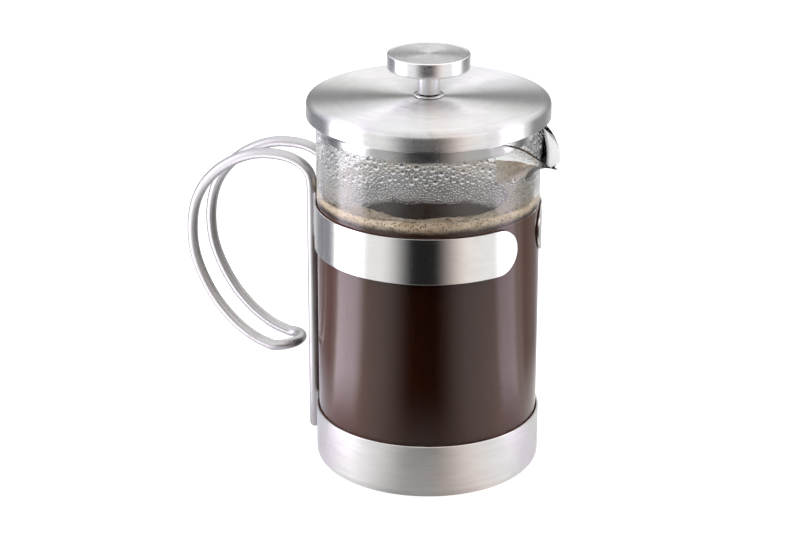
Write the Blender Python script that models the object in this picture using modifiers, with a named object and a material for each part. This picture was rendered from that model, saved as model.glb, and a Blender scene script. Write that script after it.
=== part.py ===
"""French press: a glass beaker in a steel frame, with a lid and a sliding filter plunger.

Origin: on the pot's axis, at the underside of the base cup. +Z is up, the handle points to -X.
"""
import math

import bmesh
import bpy
from mathutils import Matrix, Vector

MM = 0.001
FIT_GAP = 0.3 * MM          # between pieces that touch or rest on each other

# Frame
FRAME_RADIUS = 50.0 * MM    # outside of base cup and band
SHEET = 0.8 * MM            # steel sheet of the frame
CUP_HEIGHT = 25.35 * MM
CUP_EDGE_RADIUS = 4.5 * MM
PAD_RADIUS = 41.0 * MM
PAD_THICKNESS = 1.2 * MM
BAND_BOTTOM = 100.75 * MM
BAND_WIDTH = 20.55 * MM
BAND_GAP_HALF_ANGLE = 12.0  # degrees, from the middle of the gap to a band end's tip
SPOUT_ANGLE = -5.5          # degrees from +X: the spout stands in the middle of the band's gap

# Handle: one rod bent into a hairpin
ROD_RADIUS = 2.4 * MM
LEG_SPACING = 18.5 * MM
LEG_BOTTOM = 7.3 * MM
LEG_STRAIGHT_TOP = 123.5 * MM
# Centre line of one loop as (distance from the pot's axis, height), from the leg to the U turn
LOOP_POINTS = [(52.9, 129.4), (57.0, 133.6), (63.6, 136.0), (72.2, 136.4), (81.4, 134.9), (90.6, 130.9),
               (99.2, 124.8), (106.3, 116.7), (110.7, 107.1), (112.4, 95.8), (111.4, 84.0),
               (107.3, 72.8), (100.6, 62.0), (91.7, 53.0), (82.0, 46.9), (72.8, 44.0)]
U_TURN_RISE = 6.0           # degrees: the closed end of the hairpin tips slightly up

# Glass beaker
GLASS_RADIUS = FRAME_RADIUS - SHEET - FIT_GAP
GLASS_WALL = 2.2 * MM
GLASS_HEEL_RADIUS = 8.0 * MM
RIM_HEIGHT = 159.2 * MM
SPOUT_ROOT = 136.0 * MM
SPOUT_REACH = 14.0 * MM
SPOUT_DROP = 13.6 * MM
SPOUT_HALF_ANGLE = 27.0     # degrees

# Lid
LID_RADIUS = 53.15 * MM
LID_BOTTOM = 161.1 * MM
LID_TOP = 169.2 * MM
LID_EDGE_RADIUS = 3.0 * MM
LID_SHEET = 0.7 * MM
SKIRT_RADIUS = 46.0 * MM
SKIRT_BOTTOM = 153.5 * MM
LINER_SHEET = 1.0 * MM
LINER_FLANGE_RADIUS = 50.2 * MM
BUSHING_FLANGE_RADIUS = 6.7 * MM
BUSHING_RADIUS = 4.0 * MM
BUSHING_LENGTH = 7.2 * MM
BUSHING_FLANGE = 0.8 * MM
NUT_ACROSS_FLATS = 13.0 * MM
NUT_HEIGHT = 3.0 * MM

# Plunger
PLUNGER_ROD_RADIUS = 2.5 * MM
ROD_BOTTOM = 14.5 * MM
ROD_TOP = 186.0 * MM
KNOB_RADIUS = 18.0 * MM
KNOB_BOTTOM = 181.5 * MM
KNOB_TOP = 188.3 * MM
KNOB_EDGE = 0.7 * MM
NECK_RADIUS = 5.0 * MM

# Filter stack, from the bottom up
HUB_RADIUS = 6.5 * MM
HUB_BOTTOM = 13.0 * MM
HUB_HEIGHT = 4.7 * MM
CROSS_PLATE_BOTTOM = 18.0 * MM
CROSS_PLATE_RADIUS = 43.0 * MM
PLATE_SHEET = 0.8 * MM
MESH_THICKNESS = 0.4 * MM
MESH_RADIUS = 44.6 * MM
SCREEN_RIM_RADIUS = 46.1 * MM
SPIRAL_PLATE_RADIUS = 41.3 * MM
SPIRAL_PLATE_DISH = 3.0 * MM
COIL_TURNS = 24
COIL_POINTS = 8             # on each turn
COIL_RING_RADIUS = 43.9 * MM
COIL_RADIUS = 1.85 * MM
COIL_WIRE_RADIUS = 0.42 * MM
WASHER_RADIUS = 9.0 * MM

STEPS = 64                  # sides of the large turned pieces
SMALL_STEPS = 32

BORE_RADIUS = PLUNGER_ROD_RADIUS + FIT_GAP

FINISHES = {
    "satin_steel": ((0.62, 0.61, 0.60), 0.34, 1.0),
    "polished_steel": ((0.70, 0.69, 0.68), 0.18, 1.0),
    "glass": ((0.93, 0.96, 0.95), 0.04, 0.0),
    "silicone": ((0.80, 0.80, 0.78), 0.60, 0.0),
    "woven_steel": ((0.55, 0.55, 0.54), 0.45, 1.0),
}


def clear_scene():
    for old in list(bpy.data.objects):
        bpy.data.objects.remove(old, do_unlink=True)


def make_collection(name):
    collection = bpy.data.collections.new(name)
    bpy.context.scene.collection.children.link(collection)
    return collection


def add_object(name, data, collection, finish=None):
    obj = bpy.data.objects.new(name, data)
    collection.objects.link(obj)
    if finish:
        color, roughness, metallic = FINISHES[finish]
        material = bpy.data.materials.new(name + "_" + finish)
        material.use_nodes = True
        shader = material.node_tree.nodes["Principled BSDF"]
        shader.inputs["Base Color"].default_value = (*color, 1.0)
        shader.inputs["Roughness"].default_value = roughness
        shader.inputs["Metallic"].default_value = metallic
        data.materials.append(material)
    return obj


def arc(center_r, center_z, radius, start, end, count):
    """Points on an arc of a turned profile, angles in degrees from the outward direction."""
    points = []
    for i in range(count + 1):
        angle = math.radians(start + (end - start) * i / count)
        points.append((center_r + radius * math.cos(angle), center_z + radius * math.sin(angle)))
    return points


def turned(name, profile, collection, finish, steps=STEPS, closed=True):
    """Turn a profile of (radius, height) about Z. A closed profile makes a ring."""
    mesh = bpy.data.meshes.new(name)
    count = len(profile)
    edges = [(i, i + 1) for i in range(count - 1)]
    if closed:
        edges.append((count - 1, 0))
    mesh.from_pydata([(r, 0.0, z) for r, z in profile], edges, [])
    obj = add_object(name, mesh, collection, finish)
    screw = obj.modifiers.new("Turn", "SCREW")
    screw.axis = "Z"
    screw.angle = math.tau
    screw.steps = steps
    screw.render_steps = steps
    screw.use_merge_vertices = True
    screw.merge_threshold = 0.00001
    screw.use_smooth_shade = True
    return obj


def disc_profile(inner, outer, bottom, top):
    """Closed profile of a flat ring, its outer side running down."""
    return [(inner, top), (outer, top), (outer, bottom), (inner, bottom)]


def as_mesh_object(obj):
    """Replace a curve or a modified object by its evaluated mesh, with loose caps welded."""
    depsgraph = bpy.context.evaluated_depsgraph_get()
    mesh = bpy.data.meshes.new_from_object(obj.evaluated_get(depsgraph))
    work = bmesh.new()
    work.from_mesh(mesh)
    bmesh.ops.remove_doubles(work, verts=work.verts, dist=0.00001)
    work.to_mesh(mesh)
    work.free()
    name = obj.name
    collection = obj.users_collection[0]
    matrix = obj.matrix_world.copy()
    bpy.data.objects.remove(obj, do_unlink=True)
    result = bpy.data.objects.new(name, mesh)
    collection.objects.link(result)
    result.matrix_world = matrix
    return result


def outline_solid(name, points, depth, collection, finish=None):
    """Extrude a flat outline in its own XY plane to half of depth on each side."""
    curve = bpy.data.curves.new(name, "CURVE")
    curve.dimensions = "2D"
    curve.fill_mode = "BOTH"
    curve.extrude = depth / 2
    spline = curve.splines.new("POLY")
    spline.points.add(len(points) - 1)
    for point, (x, y) in zip(spline.points, points):
        point.co = (x, y, 0.0, 1.0)
    spline.use_cyclic_u = True
    return add_object(name, curve, collection, finish)


def wire(name, points, radius, collection, finish, resolution=2, cyclic=False):
    """A round wire along a list of points."""
    curve = bpy.data.curves.new(name, "CURVE")
    curve.dimensions = "3D"
    curve.bevel_depth = radius
    curve.bevel_resolution = resolution
    curve.use_fill_caps = True
    spline = curve.splines.new("POLY")
    spline.points.add(len(points) - 1)
    for point, position in zip(spline.points, points):
        point.co = (*position, 1.0)
    spline.use_cyclic_u = cyclic
    return add_object(name, curve, collection, finish)


def cut(obj, cutter):
    """Subtract a cutter, which stays in the file as a hidden wire object."""
    cutter.hide_render = True
    cutter.display_type = "WIRE"
    boolean = obj.modifiers.new("Cut " + cutter.name, "BOOLEAN")
    boolean.operation = "DIFFERENCE"
    boolean.object = cutter


def port_cutter(name, rings, bottom, height, cutters, sides=12):
    """One mesh of upright cylinders. Each ring is (count, distance from axis, hole radius)."""
    work = bmesh.new()
    for count, distance, hole_radius in rings:
        for i in range(count):
            angle = math.tau * i / count
            place = Matrix.Translation((distance * math.cos(angle), distance * math.sin(angle),
                                        bottom + height / 2))
            bmesh.ops.create_cone(work, cap_ends=True, segments=sides, radius1=hole_radius,
                                  radius2=hole_radius, depth=height, matrix=place)
    mesh = bpy.data.meshes.new(name)
    work.to_mesh(mesh)
    work.free()
    return add_object(name, mesh, cutters)


def smooth_path(points, step):
    """Evenly spaced points on the Catmull-Rom curve through points."""
    ends = [2 * points[0] - points[1]] + points + [2 * points[-1] - points[-2]]
    dense = []
    for a, b, c, d in zip(ends, ends[1:], ends[2:], ends[3:]):
        parts = max(1, round((c - b).length / step))
        for i in range(parts):
            t = i / parts
            dense.append(0.5 * (2 * b + t * (c - a) + t * t * (2 * a - 5 * b + 4 * c - d)
                                + t ** 3 * (3 * b - a - 3 * c + d)))
    return dense + [points[-1]]


def build_base_cup(parts):
    """Spun cup: floor, rounded edge and upright wall."""
    outer, inner = FRAME_RADIUS, FRAME_RADIUS - SHEET
    center_r = outer - CUP_EDGE_RADIUS
    profile = [(0.0, SHEET)]
    profile += arc(center_r, CUP_EDGE_RADIUS, CUP_EDGE_RADIUS - SHEET, -90, 0, 3)
    profile += [(inner, CUP_HEIGHT), (outer, CUP_HEIGHT)]
    profile += arc(center_r, CUP_EDGE_RADIUS, CUP_EDGE_RADIUS, 0, -90, 4)
    profile.append((0.0, 0.0))
    return turned("base_cup", profile, parts, "satin_steel", closed=False)


def build_base_pad(parts):
    bottom = SHEET + FIT_GAP
    profile = [(0.0, bottom + PAD_THICKNESS), (PAD_RADIUS, bottom + PAD_THICKNESS),
               (PAD_RADIUS, bottom), (0.0, bottom)]
    return turned("base_pad", profile, parts, "silicone", closed=False)


def build_upper_band(parts, cutters):
    """Ring of steel sheet with a gap under the spout and round ends at the gap."""
    band_top = BAND_BOTTOM + BAND_WIDTH
    ring = disc_profile(FRAME_RADIUS - SHEET, FRAME_RADIUS, BAND_BOTTOM, band_top)
    band = turned("upper_band", ring, parts, "satin_steel", steps=96)
    end_radius = BAND_WIDTH / 2
    tip = FRAME_RADIUS * math.sin(math.radians(BAND_GAP_HALF_ANGLE))
    center = tip + end_radius
    margin = 2 * MM
    outline = arc(center, 0.0, end_radius, 90, 270, 12)
    outline += [(center, -end_radius - margin), (-center, -end_radius - margin)]
    outline += arc(-center, 0.0, end_radius, -90, 90, 12)
    outline += [(-center, end_radius + margin), (center, end_radius + margin)]
    cutter = as_mesh_object(outline_solid("band_gap_cutter", outline, FRAME_RADIUS, cutters))
    middle = Matrix.Translation((0.0, 0.0, BAND_BOTTOM + end_radius))
    turn = Matrix.Rotation(math.radians(SPOUT_ANGLE), 4, "Z")
    # The outline's X becomes Y and its Y becomes Z; the extrusion runs along X
    upright = Matrix(((0, 0, 1, FRAME_RADIUS), (1, 0, 0, 0), (0, 1, 0, 0), (0, 0, 0, 1)))
    cutter.matrix_world = middle @ turn @ upright
    cut(band, cutter)
    return band


def build_handle_rod(parts):
    """Hairpin of round rod: up one leg, round the loop, U turn, and back to the other leg."""
    half = LEG_SPACING / 2
    leg_distance = math.sqrt((FRAME_RADIUS + FIT_GAP + ROD_RADIUS) ** 2 - half ** 2)
    leg_top = Vector((-leg_distance, 0.0, LEG_STRAIGHT_TOP))
    loop = [leg_top] + [Vector((-u * MM, 0.0, z * MM)) for u, z in LOOP_POINTS]
    side = [Vector((-leg_distance, 0.0, LEG_BOTTOM))] + smooth_path(loop, 6 * MM)
    rise = math.radians(U_TURN_RISE)
    forward = Vector((math.cos(rise), 0.0, math.sin(rise)))
    across = Vector((0.0, 1.0, 0.0))
    turn_count = 10
    u_turn = []
    for i in range(1, turn_count):
        angle = math.pi * i / turn_count
        u_turn.append(side[-1] + half * (math.sin(angle) * forward - math.cos(angle) * across))
    points = [p - half * across for p in side] + u_turn + [p + half * across for p in reversed(side)]
    return wire("handle_rod", points, ROD_RADIUS, parts, "satin_steel", resolution=3)


def build_glass_beaker(parts):
    """Turned outer surface, its rim pulled out and down into a spout, then given its wall."""
    bottom = SHEET + FIT_GAP + PAD_THICKNESS + FIT_GAP
    row_heights = [RIM_HEIGHT, 157.2 * MM, 154.6 * MM, 151.4 * MM, 148.0 * MM, 144.5 * MM,
                   140.5 * MM, SPOUT_ROOT]
    profile = [(GLASS_RADIUS, z) for z in row_heights]
    profile += arc(GLASS_RADIUS - GLASS_HEEL_RADIUS, bottom + GLASS_HEEL_RADIUS,
                   GLASS_HEEL_RADIUS, 0, -90, 5)
    profile.append((0.0, bottom))
    beaker = turned("glass_beaker", profile, parts, "glass", closed=False)
    finish = beaker.data.materials[0]
    beaker = as_mesh_object(beaker)
    for vertex in beaker.data.vertices:
        pull_spout(vertex)
    if not beaker.data.materials:
        beaker.data.materials.append(finish)
    wall = beaker.modifiers.new("Wall", "SOLIDIFY")
    wall.thickness = GLASS_WALL
    wall.offset = -1.0
    return beaker


def pull_spout(vertex):
    """Move one vertex of the beaker's outer surface where it lies in the spout."""
    x, y, z = vertex.co
    angle = math.degrees(math.atan2(y, x)) - SPOUT_ANGLE
    if z <= SPOUT_ROOT or abs(angle) >= SPOUT_HALF_ANGLE:
        return
    across = math.cos(math.pi / 2 * angle / SPOUT_HALF_ANGLE) ** 2
    up = (z - SPOUT_ROOT) / (RIM_HEIGHT - SPOUT_ROOT)
    grow = 1 + SPOUT_REACH * across * up ** 1.6 / GLASS_RADIUS
    vertex.co = (x * grow, y * grow, z - SPOUT_DROP * across ** 2.2 * up ** 2)


def build_lid_cover(parts):
    """Spun cap with a rounded edge and a hole for the bushing."""
    hole = BUSHING_RADIUS + FIT_GAP
    center_r, center_z = LID_RADIUS - LID_EDGE_RADIUS, LID_TOP - LID_EDGE_RADIUS
    profile = [(hole, LID_TOP)]
    profile += arc(center_r, center_z, LID_EDGE_RADIUS, 90, 0, 4)
    profile += [(LID_RADIUS, LID_BOTTOM), (LID_RADIUS - LID_SHEET, LID_BOTTOM)]
    profile += arc(center_r, center_z, LID_EDGE_RADIUS - LID_SHEET, 0, 90, 3)
    profile.append((hole, LID_TOP - LID_SHEET))
    return turned("lid_cover", profile, parts, "satin_steel")


def build_lid_liner(parts):
    """Inner skirt: web under the cover, wall inside the glass, flange on the glass rim."""
    hole = BUSHING_RADIUS + FIT_GAP
    top = LID_TOP - LID_SHEET - FIT_GAP
    flange = RIM_HEIGHT + FIT_GAP
    inner = SKIRT_RADIUS - LINER_SHEET
    profile = [(hole, top), (SKIRT_RADIUS, top), (SKIRT_RADIUS, flange + LINER_SHEET),
               (LINER_FLANGE_RADIUS, flange + LINER_SHEET), (LINER_FLANGE_RADIUS, flange),
               (SKIRT_RADIUS, flange), (SKIRT_RADIUS, SKIRT_BOTTOM), (inner, SKIRT_BOTTOM),
               (inner, top - LINER_SHEET), (hole, top - LINER_SHEET)]
    return turned("lid_liner", profile, parts, "satin_steel")


def build_rod_bushing(parts):
    """Flanged tube: the flange lies on the cover, the tube guides the rod."""
    flange_bottom = LID_TOP + FIT_GAP
    top = flange_bottom + BUSHING_FLANGE
    profile = [(BORE_RADIUS, top), (BUSHING_FLANGE_RADIUS, top), (BUSHING_FLANGE_RADIUS, flange_bottom),
               (BUSHING_RADIUS, flange_bottom), (BUSHING_RADIUS, top - BUSHING_LENGTH),
               (BORE_RADIUS, top - BUSHING_LENGTH)]
    return turned("rod_bushing", profile, parts, "polished_steel", steps=SMALL_STEPS)


def build_bushing_nut(parts, cutters):
    """Hexagon nut under the liner's web."""
    top = LID_TOP - LID_SHEET - 2 * FIT_GAP - LINER_SHEET
    corner = NUT_ACROSS_FLATS / math.sqrt(3)
    hexagon = [(corner * math.cos(math.tau * i / 6), corner * math.sin(math.tau * i / 6))
               for i in range(6)]
    nut = as_mesh_object(outline_solid("bushing_nut", hexagon, NUT_HEIGHT, parts, "satin_steel"))
    nut.location = (0.0, 0.0, top - NUT_HEIGHT / 2)
    hole = [(0.0, NUT_HEIGHT), (BUSHING_RADIUS + FIT_GAP, NUT_HEIGHT),
            (BUSHING_RADIUS + FIT_GAP, -NUT_HEIGHT), (0.0, -NUT_HEIGHT)]
    cutter = turned("nut_bore_cutter", hole, cutters, None, steps=SMALL_STEPS, closed=False)
    cutter.location = nut.location
    cut(nut, cutter)
    return nut


def build_knob(parts):
    """Flat round knob with a blind bore for the rod, and the turned neck under it."""
    bore_top = ROD_TOP + FIT_GAP
    profile = [(0.0, KNOB_TOP), (KNOB_RADIUS - KNOB_EDGE, KNOB_TOP), (KNOB_RADIUS, KNOB_TOP - KNOB_EDGE),
               (KNOB_RADIUS, KNOB_BOTTOM + KNOB_EDGE), (KNOB_RADIUS - KNOB_EDGE, KNOB_BOTTOM),
               (BORE_RADIUS, KNOB_BOTTOM), (BORE_RADIUS, bore_top), (0.0, bore_top)]
    disc = turned("knob_disc", profile, parts, "satin_steel", steps=64, closed=False)
    neck_bottom = LID_TOP + FIT_GAP + BUSHING_FLANGE + FIT_GAP
    neck_top = KNOB_BOTTOM - FIT_GAP
    edge = 0.5 * MM
    profile = [(BORE_RADIUS, neck_top), (NECK_RADIUS, neck_top), (NECK_RADIUS, neck_bottom + edge),
               (NECK_RADIUS - edge, neck_bottom), (BORE_RADIUS, neck_bottom)]
    neck = turned("knob_neck", profile, parts, "polished_steel", steps=SMALL_STEPS)
    return [disc, neck]


def build_plunger_rod(parts):
    edge = 0.4 * MM
    profile = [(0.0, ROD_TOP), (PLUNGER_ROD_RADIUS - edge, ROD_TOP), (PLUNGER_ROD_RADIUS, ROD_TOP - edge),
               (PLUNGER_ROD_RADIUS, ROD_BOTTOM + edge), (PLUNGER_ROD_RADIUS - edge, ROD_BOTTOM),
               (0.0, ROD_BOTTOM)]
    return turned("plunger_rod", profile, parts, "polished_steel", steps=24, closed=False)


def build_threaded_hub(parts):
    """Round nut with a blind bore that clamps the filter stack from below."""
    top = HUB_BOTTOM + HUB_HEIGHT
    edge = 0.6 * MM
    bore_bottom = ROD_BOTTOM - FIT_GAP
    profile = [(0.0, bore_bottom), (BORE_RADIUS, bore_bottom), (BORE_RADIUS, top), (HUB_RADIUS, top),
               (HUB_RADIUS, HUB_BOTTOM + edge), (HUB_RADIUS - edge, HUB_BOTTOM), (0.0, HUB_BOTTOM)]
    return turned("threaded_hub", profile, parts, "satin_steel", steps=24, closed=False)


def build_cross_plate(parts, cutters):
    """Flat plate with a low upturned edge and two rings of ports."""
    top = CROSS_PLATE_BOTTOM + PLATE_SHEET
    lip = 0.9 * MM
    profile = [(BORE_RADIUS, top), (CROSS_PLATE_RADIUS - PLATE_SHEET, top),
               (CROSS_PLATE_RADIUS - PLATE_SHEET, top + lip), (CROSS_PLATE_RADIUS, top + lip),
               (CROSS_PLATE_RADIUS, CROSS_PLATE_BOTTOM), (BORE_RADIUS, CROSS_PLATE_BOTTOM)]
    plate = turned("cross_plate", profile, parts, "satin_steel", steps=48)
    rings = [(6, 17 * MM, 5 * MM), (12, 32 * MM, 5 * MM)]
    cut(plate, port_cutter("cross_plate_ports", rings, CROSS_PLATE_BOTTOM - MM, 3 * MM, cutters))
    return plate


def build_mesh_screen(parts):
    """Woven filter disc and the pressed ring round its edge."""
    bottom = CROSS_PLATE_BOTTOM + PLATE_SHEET + 1.2 * MM
    profile = disc_profile(BORE_RADIUS, MESH_RADIUS, bottom, bottom + MESH_THICKNESS)
    screen = turned("mesh_screen", profile, parts, "woven_steel", steps=48)
    rim_height = 1.8 * MM
    middle = bottom + MESH_THICKNESS / 2
    profile = disc_profile(MESH_RADIUS + FIT_GAP, SCREEN_RIM_RADIUS, middle - rim_height / 2,
                           middle + rim_height / 2)
    rim = turned("screen_rim", profile, parts, "satin_steel", steps=64)
    return [screen, rim]


def build_spiral_plate(parts, cutters):
    """Dished plate with ports; the coil lies round its edge."""
    low = CROSS_PLATE_BOTTOM + PLATE_SHEET + 1.2 * MM + MESH_THICKNESS + FIT_GAP
    flat = 12 * MM
    slope_end = 34 * MM
    high = low + SPIRAL_PLATE_DISH
    profile = [(BORE_RADIUS, low + PLATE_SHEET), (flat, low + PLATE_SHEET), (slope_end, high + PLATE_SHEET),
               (SPIRAL_PLATE_RADIUS, high + PLATE_SHEET), (SPIRAL_PLATE_RADIUS, high),
               (slope_end, high), (flat, low), (BORE_RADIUS, low)]
    plate = turned("spiral_plate", profile, parts, "satin_steel", steps=48)
    ports = port_cutter("spiral_plate_ports", [(8, 24 * MM, 5 * MM)], low - MM,
                        SPIRAL_PLATE_DISH + 3 * MM, cutters)
    cut(plate, ports)
    washer = turned("stop_washer",
                    disc_profile(BORE_RADIUS, WASHER_RADIUS, low + PLATE_SHEET + FIT_GAP,
                                 low + PLATE_SHEET + FIT_GAP + MM),
                    parts, "satin_steel", steps=24)
    return [plate, washer, build_edge_spring(parts, high + PLATE_SHEET / 2)]


def build_edge_spring(parts, height):
    """Closed wire coil round the spiral plate."""
    points = []
    total = COIL_TURNS * COIL_POINTS
    for i in range(total):
        around = math.tau * i / total
        turn = math.tau * i / COIL_POINTS
        distance = COIL_RING_RADIUS + COIL_RADIUS * math.cos(turn)
        points.append((distance * math.cos(around), distance * math.sin(around),
                       height + COIL_RADIUS * math.sin(turn)))
    return wire("edge_spring", points, COIL_WIRE_RADIUS, parts, "polished_steel", cyclic=True)


def shade(parts):
    """Round pieces are smooth, with their real edges kept sharp."""
    for obj in parts.objects:
        if obj.type == "MESH":
            obj.data.shade_smooth()
            obj.data.set_sharp_from_angle(angle=math.radians(35))


def main():
    clear_scene()
    parts = make_collection("french_press")
    cutters = make_collection("cutters")

    build_base_cup(parts)
    build_base_pad(parts)
    build_upper_band(parts, cutters)
    build_handle_rod(parts)

    build_glass_beaker(parts)

    build_lid_cover(parts)
    build_lid_liner(parts)
    build_rod_bushing(parts)
    build_bushing_nut(parts, cutters)

    build_knob(parts)
    build_plunger_rod(parts)
    build_threaded_hub(parts)
    build_cross_plate(parts, cutters)
    build_mesh_screen(parts)
    build_spiral_plate(parts, cutters)
    shade(parts)


main()
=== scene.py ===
import math
import random
import bmesh
import bpy
from mathutils import Matrix, Vector, noise


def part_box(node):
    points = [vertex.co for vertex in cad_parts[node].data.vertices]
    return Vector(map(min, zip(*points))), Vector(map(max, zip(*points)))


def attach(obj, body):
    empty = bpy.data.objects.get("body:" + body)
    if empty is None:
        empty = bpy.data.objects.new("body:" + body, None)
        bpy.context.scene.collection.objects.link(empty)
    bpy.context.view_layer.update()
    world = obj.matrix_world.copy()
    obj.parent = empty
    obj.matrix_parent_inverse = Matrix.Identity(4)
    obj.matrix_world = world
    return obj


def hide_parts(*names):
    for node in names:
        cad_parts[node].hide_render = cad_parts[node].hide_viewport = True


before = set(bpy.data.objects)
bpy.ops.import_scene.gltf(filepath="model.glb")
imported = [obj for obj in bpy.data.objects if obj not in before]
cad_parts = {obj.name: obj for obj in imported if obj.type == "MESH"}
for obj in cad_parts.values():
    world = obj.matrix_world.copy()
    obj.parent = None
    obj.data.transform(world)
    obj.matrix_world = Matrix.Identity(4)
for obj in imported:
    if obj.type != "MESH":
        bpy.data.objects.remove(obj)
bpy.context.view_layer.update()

mm = 0.001
white = (1.0, 1.0, 1.0, 1.0)
print("frame loaded:", len(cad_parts), "nodes")


def addNode(tree, kind, values=None, **settings):
    made = tree.nodes.new(kind)
    for name, value in settings.items():
        setattr(made, name, value)
    for key, value in (values or {}).items():
        if isinstance(value, bpy.types.NodeSocket):
            tree.links.new(value, made.inputs[key])
        else:
            made.inputs[key].default_value = value
    return made


def doMath(tree, operation, *values):
    made = addNode(tree, "ShaderNodeMath", dict(enumerate(values)), operation=operation)
    return made.outputs[0]


def times(tree, first, second):
    return doMath(tree, "MULTIPLY", first, second)


def plus(tree, first, second):
    return doMath(tree, "ADD", first, second)


def remap(tree, value, low, high, toLow=0.0, toHigh=1.0, smooth=False):
    made = addNode(tree, "ShaderNodeMapRange", {0: value, 1: low, 2: high, 3: toLow, 4: toHigh},
                   interpolation_type="SMOOTHSTEP" if smooth else "LINEAR", clamp=True)
    return made.outputs[0]


def dotWith(tree, place, direction):
    made = addNode(tree, "ShaderNodeVectorMath", {0: place, 1: direction}, operation="DOT_PRODUCT")
    return made.outputs["Value"]


def lengthOf(tree, place):
    made = addNode(tree, "ShaderNodeVectorMath", {0: place}, operation="LENGTH")
    return made.outputs["Value"]


def addNoise(tree, place, scale, detail, **more):
    made = addNode(tree, "ShaderNodeTexNoise",
                   {"Vector": place, "Scale": scale, "Detail": detail, **more})
    return made.outputs[0]


def objectPlace(tree):
    return addNode(tree, "ShaderNodeTexCoord").outputs["Object"]


def heightIn(tree, place):
    return addNode(tree, "ShaderNodeSeparateXYZ", {0: place}).outputs[2]


def bumpFrom(tree, distance, height):
    return addNode(tree, "ShaderNodeBump", {"Distance": distance, "Height": height}).outputs[0]


def principled(tree, output, values):
    shader = addNode(tree, "ShaderNodeBsdfPrincipled", values)
    tree.links.new(shader.outputs[0], output.inputs["Surface"])
    return shader


def mixColor(tree, factor, first, second, blend="MIX"):
    made = addNode(tree, "ShaderNodeMix", {0: factor, 6: first, 7: second}, data_type="RGBA",
                   blend_type=blend)
    return made.outputs[2]


def newGroup(name, inputs, outputs):
    group = bpy.data.node_groups.new(name, "ShaderNodeTree")
    for socketName, kind, value in inputs:
        socket = group.interface.new_socket(name=socketName, in_out="INPUT",
                                            socket_type="NodeSocket" + kind)
        socket.default_value = value
    for socketName, kind in outputs:
        group.interface.new_socket(name=socketName, in_out="OUTPUT",
                                   socket_type="NodeSocket" + kind)
    return group, group.nodes.new("NodeGroupInput"), group.nodes.new("NodeGroupOutput")


def useGroup(tree, group, **values):
    return addNode(tree, "ShaderNodeGroup", values, node_tree=group).outputs


def newMaterial(name):
    material = bpy.data.materials.new(name)
    material.use_nodes = True
    tree = material.node_tree
    tree.nodes.clear()
    return material, tree, tree.nodes.new("ShaderNodeOutputMaterial")


def polar(radius, angle, height):
    return Vector((radius * math.cos(angle), radius * math.sin(angle), height))


def filleted(corners, segments=5, closed=True):
    # corners are (radius, height, fillet) in millimetres; every fillet becomes a true arc
    points = []
    count = len(corners)
    for i, (r, z, fillet) in enumerate(corners):
        here = Vector((r, z))
        if not fillet or (not closed and i in (0, count - 1)):
            points.append((r, z))
            continue
        before = Vector(corners[i - 1][:2]) - here
        after = Vector(corners[(i + 1) % count][:2]) - here
        half = before.angle(after) / 2
        reach = min(fillet / math.tan(half), 0.49 * before.length, 0.49 * after.length)
        radius = reach * math.tan(half)
        toCenter = (before.normalized() + after.normalized()).normalized()
        center = here + toCenter * radius / math.sin(half)
        start = here + before.normalized() * reach - center
        end = here + after.normalized() * reach - center
        startAngle = math.atan2(start.y, start.x)
        sweep = (math.atan2(end.y, end.x) - startAngle + math.pi) % math.tau - math.pi
        for k in range(segments + 1):
            angle = startAngle + sweep * k / segments
            points.append((center.x + radius * math.cos(angle),
                           center.y + radius * math.sin(angle)))
    return heldFlat(points, closed)


def heldFlat(points, closed):
    # extra rows just inside the ends of long flats keep their shading flat
    held = []
    for i, point in enumerate(points):
        held.append(point)
        if i == len(points) - 1 and not closed:
            break
        here, there = Vector(point), Vector(points[(i + 1) % len(points)])
        length = (there - here).length
        if length > 1.6 and min(here.x, there.x) > 0.5:
            inset = min(0.5, 0.12 * length) / length
            held += [tuple(here.lerp(there, inset)), tuple(here.lerp(there, 1 - inset))]
    return held


def turnedShape(profile, steps, closed=True):
    # turns a (radius, height) profile about Z; points on the axis become poles
    vertices, faces, rows = [], [], []
    for r, z in profile:
        if r < 1e-6:
            rows.append([len(vertices)])
            vertices.append(Vector((0, 0, z)))
        else:
            rows.append(list(range(len(vertices), len(vertices) + steps)))
            vertices += [polar(r, math.tau * k / steps, z) for k in range(steps)]
    pairs = list(zip(rows, rows[1:])) + ([(rows[-1], rows[0])] if closed else [])
    for low, high in pairs:
        for k in range(steps):
            n = (k + 1) % steps
            if len(low) == 1 and len(high) == 1:
                break
            if len(low) == 1:
                faces.append((low[0], high[n], high[k]))
            elif len(high) == 1:
                faces.append((low[k], low[n], high[0]))
            else:
                faces.append((low[k], low[n], high[n], high[k]))
    return vertices, faces


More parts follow.
